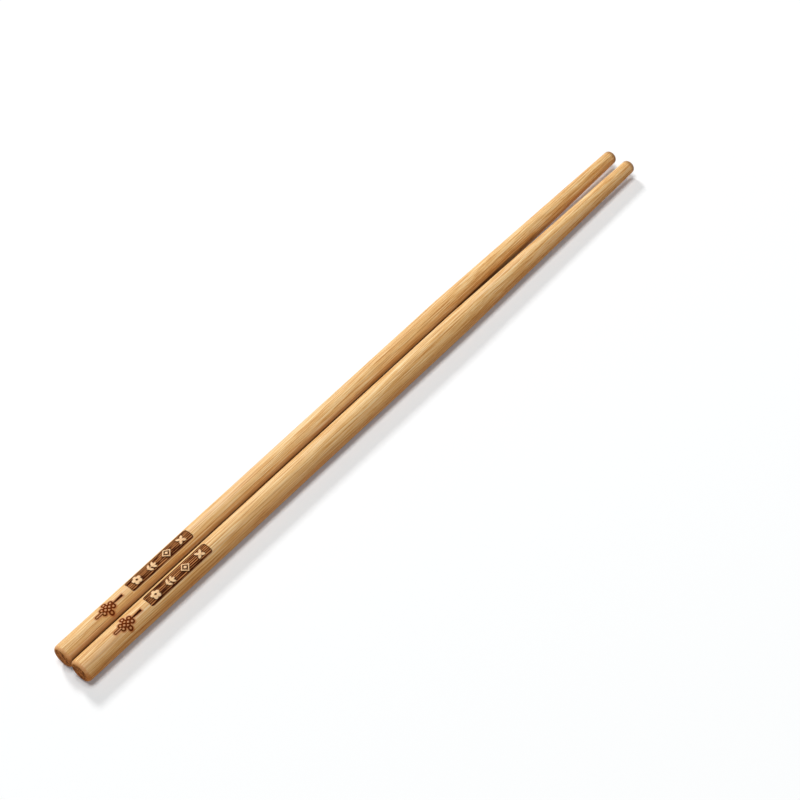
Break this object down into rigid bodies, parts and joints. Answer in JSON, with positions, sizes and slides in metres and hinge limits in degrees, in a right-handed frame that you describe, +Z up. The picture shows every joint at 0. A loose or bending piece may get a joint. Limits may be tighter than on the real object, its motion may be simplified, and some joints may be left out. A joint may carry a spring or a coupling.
{
  "type": "pair of chopsticks",
  "caption": "Pair of round bamboo chopsticks with plain handles, long tapers to rounded tips, and a burnt panel and endless knot near the thick ends.",
  "frame": {"origin": "centre of the pair's footprint, on the surface that the sticks lie on", "axes": "+X along the sticks from the thick ends to the tips, +Y across the pair towards the left stick, +Z up"},
  "size_m": [0.2406, 0.0146, 0.0072],
  "materials": {
    "bamboo": "smooth pale honey bamboo with fine lengthwise fibres, an unvarnished satin sheen, and dark brown laser-burnt engraving"
  },
  "bodies": {
    "root": {"chopstick_left": "bamboo", "chopstick_right": "bamboo"}
  },
  "joints": []
}
